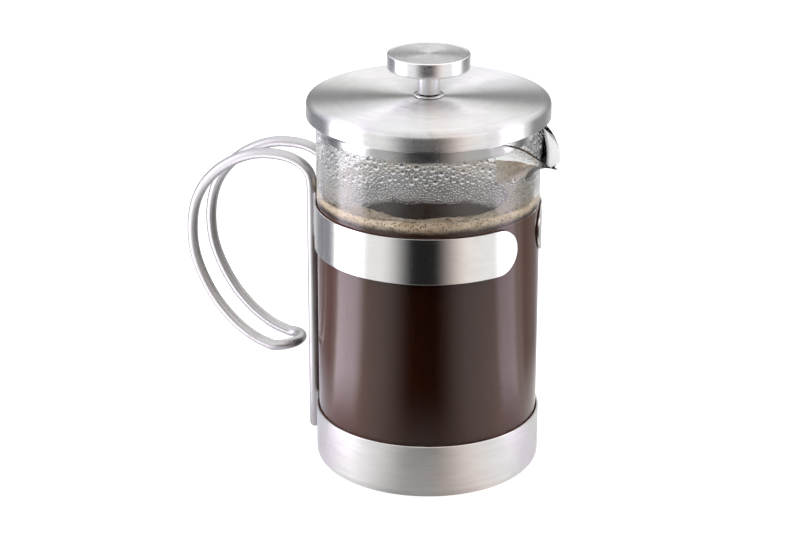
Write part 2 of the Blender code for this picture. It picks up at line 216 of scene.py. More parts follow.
def tubeShape(points, radius, sides, closed=False):
    # round wire along points, with domed ends when it is open
    vertices, faces, rings = [], [], []
    count = len(points)
    radii = [radius] * count
    if not closed:
        first = (points[0] - points[1]).normalized()
        last = (points[-1] - points[-2]).normalized()
        dome = [(math.sin(math.radians(d)), math.cos(math.radians(d))) for d in (75, 50, 25)]
        points = ([points[0] + first * radius * h for h, _ in dome] + list(points)
                  + [points[-1] + last * radius * h for h, _ in reversed(dome)])
        radii = [radius * w for _, w in dome] + radii + [radius * w for _, w in reversed(dome)]
        count = len(points)
    side = None
    for i, point in enumerate(points):
        before = points[i - 1] if i or closed else point
        after = points[(i + 1) % count] if i < count - 1 or closed else point
        along = (after - before).normalized()
        if side is None:
            side = along.orthogonal().normalized()
        side = (side - along * side.dot(along)).normalized()
        other = along.cross(side)
        rings.append(len(vertices))
        turns = [math.tau * k / sides for k in range(sides)]
        vertices += [point + radii[i] * (math.cos(turn) * side + math.sin(turn) * other)
                     for turn in turns]
    if not closed:
        for i in range(count - 1):
            for k in range(sides):
                n = (k + 1) % sides
                faces.append((rings[i] + k, rings[i] + n, rings[i + 1] + n, rings[i + 1] + k))
        faces += [tuple(range(sides)), tuple(rings[-1] + k for k in range(sides))]
        return vertices, faces
    # a closed wire joins its last ring to the first one at the turn that fits best
    twist = min(range(sides), key=lambda t: (vertices[rings[-1]] - vertices[t]).length)
    for i in range(count):
        shift = twist if i == count - 1 else 0
        low, high = rings[i], rings[(i + 1) % count]
        for k in range(sides):
            n = (k + 1) % sides
            faces.append((low + k, low + n, high + (n + shift) % sides,
                          high + (k + shift) % sides))
    return vertices, faces


def merged(shapes):
    vertices, faces = [], []
    for more, moreFaces in shapes:
        start = len(vertices)
        vertices += more
        faces += [tuple(start + i for i in face) for face in moreFaces]
    return vertices, faces


def addPiece(name, shape, material, body, slotName=None, replaced=(), sharpAngle=32):
    # shapes are in millimetres; replaced lists the nodes of the frame that the piece stands for
    vertices, faces = shape
    mesh = bpy.data.meshes.new(name)
    mesh.from_pydata([Vector(v) * mm for v in vertices], [], faces)
    work = bmesh.new()
    work.from_mesh(mesh)
    bmesh.ops.recalc_face_normals(work, faces=work.faces)
    work.to_mesh(mesh)
    work.free()
    mesh.shade_smooth()
    mesh.set_sharp_from_angle(angle=math.radians(sharpAngle))
    mesh.materials.append(material)
    piece = bpy.data.objects.new(name, mesh)
    bpy.context.scene.collection.objects.link(piece)
    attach(piece, body)
    if replaced:
        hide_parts(*replaced)
    return piece


def addTurned(name, corners, segments, steps, *placing, closed=True, **more):
    # a turned piece from the corners of its section; an open one starts and ends on the axis
    shape = turnedShape(filleted(corners, segments, closed), steps, closed)
    return addPiece(name, shape, *placing, **more)


def drillPorts(piece, rings, bottom, top, sides=32):
    # rings are (count, distance from the axis, hole radius) in millimetres
    work = bmesh.new()
    for count, distance, radius in rings:
        for i in range(count):
            angle = math.tau * i / count
            place = polar(distance, angle, (bottom + top) / 2) * mm
            bmesh.ops.create_cone(work, cap_ends=True, segments=sides, radius1=radius * mm,
                                  radius2=radius * mm, depth=(top - bottom) * mm,
                                  matrix=Matrix.Translation(place))
    mesh = bpy.data.meshes.new("ports")
    work.to_mesh(mesh)
    work.free()
    cutter = bpy.data.objects.new("ports", mesh)
    bpy.context.scene.collection.objects.link(cutter)
    cutting = piece.modifiers.new("ports", "BOOLEAN")
    cutting.object = cutter
    cutting.operation = "DIFFERENCE"
    cutting.solver = "EXACT"
    depsgraph = bpy.context.evaluated_depsgraph_get()
    result = bpy.data.meshes.new_from_object(piece.evaluated_get(depsgraph))
    piece.modifiers.clear()
    piece.data = result
    bpy.data.objects.remove(cutter)
    result.shade_smooth()
    result.set_sharp_from_angle(angle=math.radians(32))


def boxOf(node):
    low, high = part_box(node)
    return low / mm, high / mm


studio = {
    "viewTurn": 22.5,          # degrees round the pot
    "cameraDistance": 1.00376,
    "cameraHeight": 0.47485,
    "cameraTilt": 20.98,
    "cameraPan": 0.705,
    "lens": 109.12,
    "fill": 1.13,              # brightness of the white studio round the pot
    "overhead": 1.55,
    "backHorizon": 0.22,
    "frontGap": 0.012,         # the unlit gap behind the camera
    "sideDip": 0.34,           # the dim corners beside the backdrop
    "leftBox": 4.3,
    "rightBox": 2.5,
    "floorSeen": 0.93,
    "seenThroughGlass": 0.88,
    "besideGlass": 0.58,
    "floorAround": 1.1,
    "floorBehind": 0.70,
    "floorNear": 1.0,          # round the foot of the pot
    "floorNearFront": 0.42,
    "floorFront": 0.012,
    "coolTint": (0.92, 0.94, 1.06, 1),
    "warmTint": (1.05, 0.92, 0.87, 1),
    "boxTint": (0.99, 0.92, 1.04, 1),
    # degrees from the camera's side: begins, full, starts to fade, gone
    "frontGapEdges": (-46, -12.5, 5, 40),
    "leftBoxEdges": (-103, -94, -74, -60),
    "rightBoxEdges": (66, 75, 90, 98),
    "dipEdges": (98, 112, 132, 156),
    "backEdges": (120, 150),
    # name, degrees from the camera's side, reach, height, size, watts
    "lamps": [("lampLeft", -80, 1.3, 0.45, 0.6, 9.0), ("lampRight", 86, 1.3, 0.45, 0.5, 6.0),
              ("lampTop", 180, 0.15, 1.6, 1.0, 6.0)],
    "lampColor": (1.0, 0.985, 0.97),
}


def buildCamera():
    turn = math.radians(studio["viewTurn"])
    data = bpy.data.cameras.new("studioCamera")
    data.lens = studio["lens"]
    data.sensor_width = 36
    data.clip_start = 0.01
    camera = bpy.data.objects.new("studioCamera", data)
    distance = studio["cameraDistance"]
    camera.location = (distance * math.sin(turn), -distance * math.cos(turn),
                       studio["cameraHeight"])
    camera.rotation_euler = (math.radians(90 - studio["cameraTilt"]), 0,
                             turn + math.radians(studio["cameraPan"]))
    bpy.context.scene.collection.objects.link(camera)
    bpy.context.scene.camera = camera


def studioSectors():
    # where a direction from the pot points in the studio: masks for its parts
    group, source, sink = newGroup("studioSectors", [("Direction", "Vector", (0, -1, 0))],
                                   [("Front Gap", "Float"), ("Left Box", "Float"),
                                    ("Right Box", "Float"), ("Dip", "Float"),
                                    ("Back", "Float"), ("Tint", "Color")])
    turn = math.radians(studio["viewTurn"])
    toCamera = (math.sin(turn), -math.cos(turn), 0)
    toRight = (math.cos(turn), math.sin(turn), 0)
    ahead = dotWith(group, source.outputs[0], toCamera)
    aside = dotWith(group, source.outputs[0], toRight)
    angle = doMath(group, "DEGREES", doMath(group, "ARCTAN2", aside, ahead))
    away = doMath(group, "ABSOLUTE", angle)

    def between(value, edges):
        begins, full, fades, gone = edges
        return times(group, remap(group, value, begins, full, smooth=True),
                     remap(group, value, fades, gone, 1, 0, smooth=True))

    gap = between(angle, studio["frontGapEdges"])
    left = between(angle, studio["leftBoxEdges"])
    right = between(angle, studio["rightBoxEdges"])
    dip = between(away, studio["dipEdges"])
    back = remap(group, away, *studio["backEdges"], smooth=True)
    cool = times(group, dip, remap(group, angle, 0, 10, 1, 0))
    tint = mixColor(group, cool, white, studio["coolTint"])
    warm = times(group, remap(group, angle, 0, 10), remap(group, angle, 28, 52, 1, 0))
    tint = mixColor(group, warm, tint, studio["warmTint"])
    tint = mixColor(group, doMath(group, "MAXIMUM", left, right), tint, studio["boxTint"])
    for socket, name in ((gap, "Front Gap"), (left, "Left Box"), (right, "Right Box"),
                         (dip, "Dip"), (back, "Back"), (tint, "Tint")):
        group.links.new(socket, sink.inputs[name])
    return group


def mixLevels(tree, start, levels):
    # goes from one brightness to the next wherever a mask is on
    level = start
    for mask, value in levels:
        level = addNode(tree, "ShaderNodeMix", {0: mask, 2: level, 3: value}).outputs[0]
    return level


def glassPath(tree, path):
    # 1 for what is looked at through clear glass or water, 0 for light on matt surfaces
    direct = doMath(tree, "LESS_THAN", path["Diffuse Depth"], 0.5)
    return times(tree, path["Is Transmission Ray"], direct)


def throughGlass(tree, level, back):
    # behind the clear glass the backdrop stays bright, everything beside it falls off
    dimmed = times(tree, level, studio["besideGlass"])
    return mixLevels(tree, dimmed, ((back, studio["seenThroughGlass"]),))


def buildWorld(sectors):
    world = bpy.data.worlds.new("studioWorld")
    bpy.context.scene.world = world
    world.use_nodes = True
    tree = world.node_tree
    tree.nodes.clear()
    direction = addNode(tree, "ShaderNodeTexCoord").outputs["Generated"]
    masks = useGroup(tree, sectors, Direction=direction)
    height = heightIn(tree, direction)
    nearLevel = remap(tree, height, 0.26, 0.40, 1, 0, smooth=True)
    boxRows = remap(tree, height, 0.6, 0.75, 1, 0, smooth=True)

    def at(mask, rows):
        return times(tree, masks[mask], rows)

    light = mixLevels(tree, studio["fill"], (
        (at("Back", nearLevel), studio["backHorizon"]),
        (at("Dip", nearLevel), studio["sideDip"]),
        (at("Left Box", boxRows), studio["leftBox"]),
        (at("Right Box", boxRows), studio["rightBox"]),
        (at("Front Gap", nearLevel), studio["frontGap"]),
        (remap(tree, height, 0.34, 0.52, smooth=True), studio["overhead"])))
    path = addNode(tree, "ShaderNodeLightPath").outputs
    strength = mixLevels(tree, light, (
        (glassPath(tree, path), throughGlass(tree, studio["fill"], masks["Back"])),
        (path["Is Camera Ray"], 1.0)))
    background = addNode(tree, "ShaderNodeBackground",
                         {"Color": masks["Tint"], "Strength": strength})
    output = tree.nodes.new("ShaderNodeOutputWorld")
    tree.links.new(background.outputs[0], output.inputs["Surface"])


def buildFloor(sectors):
    # a wide round sweep; the camera sees it nearly burnt out, the pot sees it dimmer, as a glowing
    # floor with the studio's bright panels, dark front gap and a ring round the pot's foot painted
    # into its glow
    material, tree, output = newMaterial("paleFloor")
    place = objectPlace(tree)
    masks = useGroup(tree, sectors, Direction=place)
    grain = addNoise(tree, place, 9.0, 4.0)
    distance = lengthOf(tree, place)
    nearFloor = mixLevels(tree, studio["floorNear"],
                          ((masks["Front Gap"], studio["floorNearFront"]),))
    level = mixLevels(tree, studio["floorAround"], (
        (masks["Back"], studio["floorBehind"]), (masks["Dip"], studio["sideDip"]),
        (masks["Left Box"], studio["leftBox"]), (masks["Right Box"], studio["rightBox"]),
        (masks["Front Gap"], studio["floorFront"]),
        (remap(tree, distance, 0.09, 0.17, 1, 0, smooth=True), nearFloor)))
    path = addNode(tree, "ShaderNodeLightPath").outputs
    seenLevel = throughGlass(tree, level, masks["Back"])
    level = mixLevels(tree, level, ((glassPath(tree, path), seenLevel),))
    level = times(tree, level, remap(tree, grain, 0.3, 0.7, 0.97, 1.03))
    # painted studio light: the floor glows with the panel, gap and foot-ring levels that
    # reflections and refractions see
    around = addNode(tree, "ShaderNodeEmission", {"Color": masks["Tint"], "Strength": level})
    paper = addNode(tree, "ShaderNodeBsdfDiffuse", {"Color": (0.30, 0.30, 0.30, 1)})
    burnt = addNode(tree, "ShaderNodeEmission", {"Color": white, "Strength": studio["floorSeen"]})
    seen = addNode(tree, "ShaderNodeAddShader", {0: paper.outputs[0], 1: burnt.outputs[0]})
    both = addNode(tree, "ShaderNodeMixShader",
                   {0: path["Is Camera Ray"], 1: around.outputs[0], 2: seen.outputs[0]})
    tree.links.new(both.outputs[0], output.inputs["Surface"])
    rings = [(r, 0) for r in (0, 0.1, 0.3, 0.8, 2.4)]
    vertices, faces = turnedShape(rings, 96, closed=False)
    mesh = bpy.data.meshes.new("studioFloor")
    mesh.from_pydata(vertices, [], faces)
    mesh.materials.append(material)
    material.cycles.emission_sampling = "NONE"
    floor = bpy.data.objects.new("studioFloor", mesh)
    floor.location.z = -0.0002  # just under the cup, so that the two don't flicker
    bpy.context.scene.collection.objects.link(floor)


def buildLamps():
    # weak soft lamps where the bright panels are, for a little direction in the light
    turn = math.radians(studio["viewTurn"])
    for name, degrees, reach, height, size, power in studio["lamps"]:
        data = bpy.data.lights.new(name, "AREA")
        data.shape = "RECTANGLE"
        data.size = data.size_y = size
        data.energy = power
        data.color = studio["lampColor"]
        lamp = bpy.data.objects.new(name, data)
        away = math.radians(degrees)
        lamp.location = (reach * math.sin(turn + away), -reach * math.cos(turn + away), height)
        aim = Vector((0, 0, 0.1)) - lamp.location
        lamp.rotation_euler = aim.to_track_quat("-Z", "Y").to_euler()
        lamp.visible_glossy = False
        lamp.visible_transmission = False
        bpy.context.scene.collection.objects.link(lamp)


scene = bpy.context.scene
scene.view_settings.view_transform = "Standard"
buildCamera()
sectors = studioSectors()
buildWorld(sectors)
buildFloor(sectors)
buildLamps()
print("studio ready")


def aroundAxis(group):
    # radius, height and a seamless direction round the pot's axis, from object coordinates
    parts = addNode(group, "ShaderNodeSeparateXYZ", {0: objectPlace(group)}).outputs
    flat = addNode(group, "ShaderNodeCombineXYZ", {0: parts[0], 1: parts[1]}).outputs[0]
    unit = addNode(group, "ShaderNodeVectorMath", {0: flat}, operation="NORMALIZE")
    return lengthOf(group, flat), parts[2], unit.outputs["Vector"]


def ringBrushingGroup():
    # fine scratches running round the axis, with slow changes of tone along them
    group, source, sink = newGroup(
        "ringBrushing",
        [("Lines", "Float", 6000.0), ("Length", "Float", 3.0), ("Tone Lines", "Float", 900.0)],
        [("Scratches", "Float"), ("Tone", "Float")])
    radius, height, unit = aroundAxis(group)
    for lines, output, detail in (("Lines", "Scratches", 3.0), ("Tone Lines", "Tone", 5.0)):
        stretch = addNode(group, "ShaderNodeVectorMath",
                          {0: unit, "Scale": source.outputs["Length"]},
                          operation="SCALE").outputs["Vector"]
        radial = times(group, radius, source.outputs[lines])
        lift = addNode(group, "ShaderNodeCombineXYZ", {2: radial}).outputs[0]
        where = addNode(group, "ShaderNodeVectorMath", {0: stretch, 1: lift}, operation="ADD")
        grain = addNode(group, "ShaderNodeTexNoise",
                        {"Vector": where.outputs["Vector"],
                         "W": times(group, height, source.outputs[lines]),
                         "Scale": 1.0, "Detail": detail, "Roughness": 0.6}, noise_dimensions="4D")
        group.links.new(grain.outputs[0], sink.inputs[output])
    return group


def satinGrainGroup():
    # short isotropic grain of a drawn or blasted surface
    group, source, sink = newGroup("satinGrain", [("Size", "Float", 2500.0)],
                                   [("Grain", "Float"), ("Patches", "Float")])
    place = objectPlace(group)
    fine = addNoise(group, place, source.outputs[0], 4.0)
    broad = addNoise(group, place, 60.0, 5.0, Roughness=0.55)
    group.links.new(fine, sink.inputs["Grain"])
    group.links.new(broad, sink.inputs["Patches"])
    return group


def handlingGroup():
    # faint finger smears, water marks and dust, as masks from 0 to 1
    group, source, sink = newGroup(
        "handlingMarks", [("Smear Size", "Float", 45.0), ("Dust Size", "Float", 1400.0)],
        [("Smears", "Float"), ("Marks", "Float"), ("Dust", "Float")])
    place = objectPlace(group)
    smear = addNoise(group, place, source.outputs["Smear Size"], 6.0, Roughness=0.65,
                     Distortion=1.2)
    group.links.new(remap(group, smear, 0.48, 0.72, smooth=True), sink.inputs["Smears"])
    # a few of the cells hold the ring of a dried drop
    spots = addNode(group, "ShaderNodeTexVoronoi", {"Vector": place, "Scale": 160.0}, feature="F1")
    ring = doMath(group, "ABSOLUTE", doMath(group, "SUBTRACT", spots.outputs["Distance"], 0.22))
    chance = addNode(group, "ShaderNodeSeparateColor", {0: spots.outputs["Color"]}).outputs[0]
    rings = times(group, remap(group, ring, 0.0, 0.06, 1, 0),
                  doMath(group, "GREATER_THAN", chance, 0.93))
    group.links.new(rings, sink.inputs["Marks"])
    specks = addNoise(group, place, source.outputs["Dust Size"], 2.0)
    group.links.new(remap(group, specks, 0.70, 0.78), sink.inputs["Dust"])
    return group


def edgeWearGroup():
    # 1 along outward edges, broken up by noise
    group, source, sink = newGroup("edgeWear", [("Start", "Float", 0.54), ("End", "Float", 0.62)],
                                   [("Wear", "Float")])
    bend = addNode(group, "ShaderNodeNewGeometry").outputs["Pointiness"]
    chips = addNoise(group, objectPlace(group), 700.0, 4.0)
    found = remap(group, bend, source.outputs["Start"], source.outputs["End"])
    worn = times(group, found, remap(group, chips, 0.35, 0.6))
    group.links.new(worn, sink.inputs["Wear"])
    return group


ringBrushing = ringBrushingGroup()
satinGrain = satinGrainGroup()
handlingMarks = handlingGroup()
edgeWear = edgeWearGroup()


def makeSteel(name, color, roughness, anisotropy=0.0, lines=6000.0, toneLines=900.0, length=3.0,
              scratch=0.00001, tone=0.06, smear=0.08, turnedLines=True, sideBelow=None,
              sideRoughness=0.2):
    # turnedLines gives brushing round the axis, without them the steel has a short even grain
    stain = (0.86, 0.83, 0.80, 1)
    material, tree, output = newMaterial(name)
    marks = useGroup(tree, handlingMarks)
    wear = useGroup(tree, edgeWear)["Wear"]
    if turnedLines:
        brush = useGroup(tree, ringBrushing,
                         **{"Lines": lines, "Tone Lines": toneLines, "Length": length})
        relief, shade = brush["Scratches"], brush["Tone"]
    else:
        brush = useGroup(tree, satinGrain, Size=lines)
        relief, shade = brush["Grain"], brush["Patches"]

    def shaded(factor):
        return tuple(min(1.0, c * factor) for c in color) + (1.0,)

    tint = mixColor(tree, remap(tree, shade, 0.3, 0.7), shaded(1 - tone), shaded(1 + tone))
    tint = mixColor(tree, times(tree, marks["Smears"], 0.35), tint,
                    mixColor(tree, 1.0, tint, stain, "MULTIPLY"))
    tint = mixColor(tree, times(tree, wear, 0.5), tint, shaded(1.18))
    rough = remap(tree, shade, 0.3, 0.7, roughness * 0.88, roughness * 1.12)
    if sideBelow:
        # the rolled side under this height is smoother than the spun top
        height = heightIn(tree, objectPlace(tree))
        onSide = remap(tree, height, sideBelow - 0.0008, sideBelow, 1, 0, smooth=True)
        rough = mixLevels(tree, rough, ((onSide, sideRoughness),))
    for mark, amount in (("Smears", smear), ("Marks", smear * 0.35), ("Dust", 0.12)):
        rough = plus(tree, rough, times(tree, marks[mark], amount))
    shader = principled(tree, output, {"Base Color": tint, "Metallic": 1.0, "Roughness": rough,
                                       "Normal": bumpFrom(tree, scratch, relief)})
    if anisotropy:
        tangent = addNode(tree, "ShaderNodeTangent", direction_type="RADIAL", axis="Z")
        tree.links.new(tangent.outputs[0], shader.inputs["Tangent"])
        shader.inputs["Anisotropic"].default_value = anisotropy
        shader.inputs["Anisotropic Rotation"].default_value = 0.25
    material.diffuse_color = (*color, 1.0)
    return material


frameSettings = {
    "cupEdge": 4.5, "sheet": 0.8, "bandRadius": 50.0, "bandGapAngle": 12.0, "spoutAngle": -5.5,
    "rodRadius": 2.4, "legSpacing": 18.5, "legBottom": 7.3, "legTop": 123.5, "turnRise": 6.0,
    "seamRadius": 0.62, "lowSeam": (10.0, 22.5),
    # (distance from the axis, height) along the grip, from the band round to the U turn
    "loop": [(52.9, 129.4), (57.0, 133.6), (63.6, 136.0), (72.2, 136.4), (81.4, 134.9),
             (90.6, 130.9), (99.2, 124.8), (106.3, 116.7), (110.7, 107.1), (112.4, 95.8),
             (111.4, 84.0), (107.3, 72.8), (100.6, 62.0), (91.7, 53.0), (82.0, 46.9),
             (72.8, 44.0)],
}
cupSteel = makeSteel("brushedCup", (0.66, 0.65, 0.64), 0.36, 0.72, lines=5200, toneLines=700,
                     tone=0.07)
bandSteel = makeSteel("satinBand", (0.69, 0.68, 0.67), 0.17, 0.55, lines=9000, toneLines=1500,
                      tone=0.03, scratch=0.000004, smear=0.05)
rodSteel = makeSteel("satinRod", (0.46, 0.457, 0.455), 0.42, 0.0, lines=3000, tone=0.04,
                     turnedLines=False, scratch=0.000006)


def buildBaseCup():
    # it stands on a ring, the middle of its floor is raised half a millimetre
    high = boxOf("base_cup")[1]
    r, top, sheet, edge = high.x, high.z, frameSettings["sheet"], frameSettings["cupEdge"]
    corners = [(0, sheet, 0), (r - sheet, sheet, edge - sheet), (r - sheet, top, 0.3),
               (r, top, 0.3), (r, 0, edge), (r - 14, 0, 1.0), (r - 15.2, 0.5, 1.0), (0, 0.5, 0)]
    addTurned("baseCup", corners, 8, 160, cupSteel, "frame", "brushed_frame", ["base_cup"],
              closed=False)


def buildBasePad():
    low, high = boxOf("base_pad")
    material, tree, output = newMaterial("frostedSilicone")
    grain = useGroup(tree, satinGrain, Size=1800.0)
    marks = useGroup(tree, handlingMarks)
    tint = mixColor(tree, grain["Patches"], (0.76, 0.76, 0.74, 1), (0.84, 0.84, 0.82, 1))
    tint = mixColor(tree, times(tree, marks["Dust"], 0.5), tint, (0.5, 0.48, 0.46, 1))
    principled(tree, output, {"Base Color": tint, "Subsurface Weight": 0.15,
                              "Roughness": plus(tree, 0.5, times(tree, marks["Smears"], 0.15)),
                              "Normal": bumpFrom(tree, 0.00002, grain["Grain"])})
    # four round grooves in the top
    corners = [(0, high.z, 0)]
    for r in (12, 20, 28, 36):
        corners += [(r - 1.1, high.z, 0.2), (r - 0.8, high.z - 0.5, 0.2),
                    (r + 0.8, high.z - 0.5, 0.2), (r + 1.1, high.z, 0.2)]
    corners += [(high.x, high.z, 0.5), (high.x, low.z, 0.5), (0, low.z, 0)]
    addTurned("basePad", corners, 3, 96, material, "frame", "silicone", ["base_pad"], closed=False)


def buildUpperBand():
    # a strip bent to a ring, with round ends at the gap under the spout
    low, high = boxOf("upper_band")
    outer, sheet = frameSettings["bandRadius"], frameSettings["sheet"]
    halfWidth, middle = (high.z - low.z) / 2, (high.z + low.z) / 2
    gap = math.radians(frameSettings["bandGapAngle"])
    # the CAD cutter is flat, so its round ends start where the chord meets the ring
    chordTip = outer * math.sin(gap)
    columns, endSteps, ringSteps = [], 16, 150
    for i in range(1, endSteps + 1):
        t = math.pi / 2 * i / endSteps
        across = chordTip + halfWidth * (1 - math.cos(t))
        columns.append((math.asin(across / outer), halfWidth * math.sin(t)))
    start = columns[-1][0]
    for i in range(1, ringSteps):
        columns.append((start + (math.tau - 2 * start) * i / ringSteps, halfWidth))
    columns += [(math.tau - angle, h) for angle, h in reversed(columns[:endSteps])]
    vertices, faces = [], []
    turn = math.radians(frameSettings["spoutAngle"])
    for angle, h in columns:
        # a flat strip with softened edges; the inset rows keep its faces flat
        edge = min(0.25, h * 0.4)
        inset = (h - edge) * 0.97
        inner = outer - sheet
        section = [(outer, -h + edge), (outer, -inset), (outer, 0), (outer, inset),
                   (outer, h - edge), (outer - 0.08, h - edge * 0.3), (outer - 0.26, h),
                   (inner + 0.26, h), (inner + 0.08, h - edge * 0.3), (inner, h - edge),
                   (inner, inset), (inner, 0), (inner, -inset), (inner, -h + edge),
                   (inner + 0.08, -h + edge * 0.3), (inner + 0.26, -h), (outer - 0.26, -h),
                   (outer - 0.08, -h + edge * 0.3)]
        vertices += [polar(r, angle + turn, middle + z) for r, z in section]
    size = len(section)
    for start in range(0, (len(columns) - 1) * size, size):
        for k in range(size):
            n = (k + 1) % size
            faces.append((start + k, start + n, start + size + n, start + size + k))
    faces += [tuple(range(size)), tuple(range((len(columns) - 1) * size, len(columns) * size))]
    addPiece("upperBand", (vertices, faces), bandSteel, "frame", "satin_band", ["upper_band"])


def smoothPath(points, step):
    # a curve through all points, cut into pieces of about one step
    ends = [2 * points[0] - points[1]] + points + [2 * points[-1] - points[-2]]
    dense = []
    for a, b, c, d in zip(ends, ends[1:], ends[2:], ends[3:]):
        parts = max(1, round((c - b).length / step))
        for i in range(parts):
            t = i / parts
            dense.append(0.5 * (2 * b + t * (c - a) + t * t * (2 * a - 5 * b + 4 * c - d)
                                + t ** 3 * (3 * b - a - 3 * c + d)))
    return dense + [points[-1]]


def buildHandle():
    rod, band = frameSettings["rodRadius"], frameSettings["bandRadius"]
    half = frameSettings["legSpacing"] / 2
    legDistance = math.sqrt((band + 0.3 + rod) ** 2 - half ** 2)
    loop = [Vector((-legDistance, 0, frameSettings["legTop"]))]
    loop += [Vector((-u, 0, z)) for u, z in frameSettings["loop"]]
    foot = Vector((-legDistance, 0, frameSettings["legBottom"] + rod))
    straight = [foot + (loop[0] - foot) * i / 12 for i in range(12)]
    side = straight + smoothPath(loop, 1.6)
    rise = math.radians(frameSettings["turnRise"])
    forward = Vector((math.cos(rise), 0, math.sin(rise)))
    across = Vector((0, 1, 0))
    turnPoints, turnSteps = [], 28
    for i in range(1, turnSteps):
        angle = math.pi * i / turnSteps
        turnPoints.append(side[-1] + half * (math.sin(angle) * forward - math.cos(angle) * across))
    points = [p - half * across for p in side] + turnPoints
    points += [p + half * across for p in reversed(side)]
    addPiece("handleRod", tubeShape(points, rod, 28), rodSteel, "frame", "satin_rod",
             ["handle_rod"])

    # thin seams where the legs touch the band and the cup
    seams = []
    bandLow, bandHigh = boxOf("upper_band")
    for sign in (-1, 1):
        legAngle = math.atan2(sign * half, -legDistance)
        for bottom, top in ((bandLow.z + 3, bandHigh.z - 3), frameSettings["lowSeam"]):
            line = [polar(band + 0.12, legAngle, bottom + (top - bottom) * i / 8) for i in range(9)]
            seams.append(tubeShape(line, frameSettings["seamRadius"], 10))
    addPiece("weldSeams", merged(seams), rodSteel, "frame", "satin_rod")


buildBaseCup()
buildBasePad()
buildUpperBand()
buildHandle()
print("frame built")


glassSettings = {
    "radius": 48.9, "wall": 2.2, "heel": 8.0, "rim": 159.2, "bottom": 2.6, "rimRound": 1.1,
    "spoutRoot": 136.0, "spoutReach": 14.0, "spoutDrop": 13.6, "spoutHalfAngle": 27.0,
    "lipThinning": 0.105,
}


def clearMaterial(name, color, roughness, ior, ripple, rippleSize):
    # glass or water: light passes straight through it for shadows
    material, tree, output = newMaterial(name)
    waves = addNoise(tree, objectPlace(tree), rippleSize, 2.0)
    marks = useGroup(tree, handlingMarks, **{"Smear Size": 30.0})
    tint = mixColor(tree, times(tree, marks["Marks"], 0.25), color, (0.9, 0.9, 0.9, 1))
    tint = mixColor(tree, times(tree, marks["Smears"], 0.2), tint, (0.93, 0.93, 0.92, 1))
    shader = addNode(tree, "ShaderNodeBsdfPrincipled",
                     {"Base Color": tint, "Roughness": roughness, "IOR": ior,
                      "Transmission Weight": 1.0, "Normal": bumpFrom(tree, ripple, waves)})
    passing = addNode(tree, "ShaderNodeBsdfTransparent", {"Color": (0.94, 0.95, 0.95, 1)})
    shadow = addNode(tree, "ShaderNodeLightPath").outputs["Is Shadow Ray"]
    both = addNode(tree, "ShaderNodeMixShader",
                   {0: shadow, 1: shader.outputs[0], 2: passing.outputs[0]})
    tree.links.new(both.outputs[0], output.inputs["Surface"])
    return material


def pullSpout(point):
    # the spout grows out of the round wall: outwards and down, most in its middle and at the rim
    g = glassSettings
    angle = math.degrees(math.atan2(point.y, point.x)) - frameSettings["spoutAngle"]
    if point.z <= g["spoutRoot"] or abs(angle) >= g["spoutHalfAngle"]:
        return point
    across = math.cos(math.pi / 2 * angle / g["spoutHalfAngle"]) ** 2
    up = (point.z - g["spoutRoot"]) / (g["rim"] - g["spoutRoot"])
    # the inside is pulled a little further, so the lip thins out
    inside = (g["radius"] - math.hypot(point.x, point.y)) / g["wall"]
    grow = 1 + g["spoutReach"] * across * up ** 1.6 / g["radius"] * (1 + g["lipThinning"] * inside)
    drop = g["spoutDrop"] * across ** 2.2 * up ** 2
    return Vector((point.x * grow, point.y * grow, point.z - drop))


def glassProfile(offset):
    # one side of the wall from the rim down to the axis, offset inwards
    g = glassSettings
    r, bottom, heel = g["radius"] - offset, g["bottom"] + offset, g["heel"] - offset
    top = g["rim"] - g["rimRound"]
    points = [(r, top - (top - g["spoutRoot"]) * (i / 14)) for i in range(15)]
    points += [(r, 110), (r, 70), (r, 35)]
    for i in range(9):
        angle = -math.pi / 2 * i / 8
        points.append((r - heel + heel * math.cos(angle), bottom + heel + heel * math.sin(angle)))
    points += [(r * 0.5, bottom), (0, bottom)]
    return points


def buildBeaker():
    g = glassSettings
    outer, inner = glassProfile(0.0), glassProfile(g["wall"])
    middle = g["radius"] - g["wall"] / 2
    # the fire-polished rim is a little thicker than the wall
    bead, rise = g["wall"] / 2 * 1.06, g["rimRound"]
    rim = [(middle + bead * math.cos(a), g["rim"] - rise + rise * math.sin(a))
           for a in (math.radians(d) for d in range(20, 161, 20))]
    profile = list(reversed(outer)) + rim + inner
    vertices, faces = turnedShape(profile, 240, closed=False)
    vertices = [pullSpout(v) for v in vertices]
    glass = clearMaterial("clearGlass", (0.985, 0.995, 0.99, 1), 0.0, 1.42, 0.00003, 26.0)
    addPiece("beaker", (vertices, faces), glass, "glass", "clear_glass", ["glass_beaker"],
             sharpAngle=60)


buildBeaker()
print("beaker built")


lidSettings = {
    "edge": 3.0, "sheet": 0.7, "hole": 4.3, "skirt": 46.0, "flange": 50.2, "flangeHeight": 159.5,
    "linerSheet": 1.0, "eyeletBore": 2.8, "eyeletTube": 4.0, "nutHalfWidth": 6.5,
}
lidSteel = makeSteel("spunLid", (0.68, 0.675, 0.67), 0.40, 1.0, lines=4200, toneLines=600,
                     tone=0.08, length=4.0, scratch=0.000012,
                     sideBelow=boxOf("lid_cover")[1].z * mm - 0.0012, sideRoughness=0.27)
linerSteel = makeSteel("linerSteel", (0.62, 0.615, 0.61), 0.22, 0.4, lines=7000, tone=0.04,
                       scratch=0.000005)
polishedSteel = makeSteel("polishedSteel", (0.74, 0.73, 0.72), 0.10, 0.0, lines=8000, tone=0.03,
                          scratch=0.000002, smear=0.06)


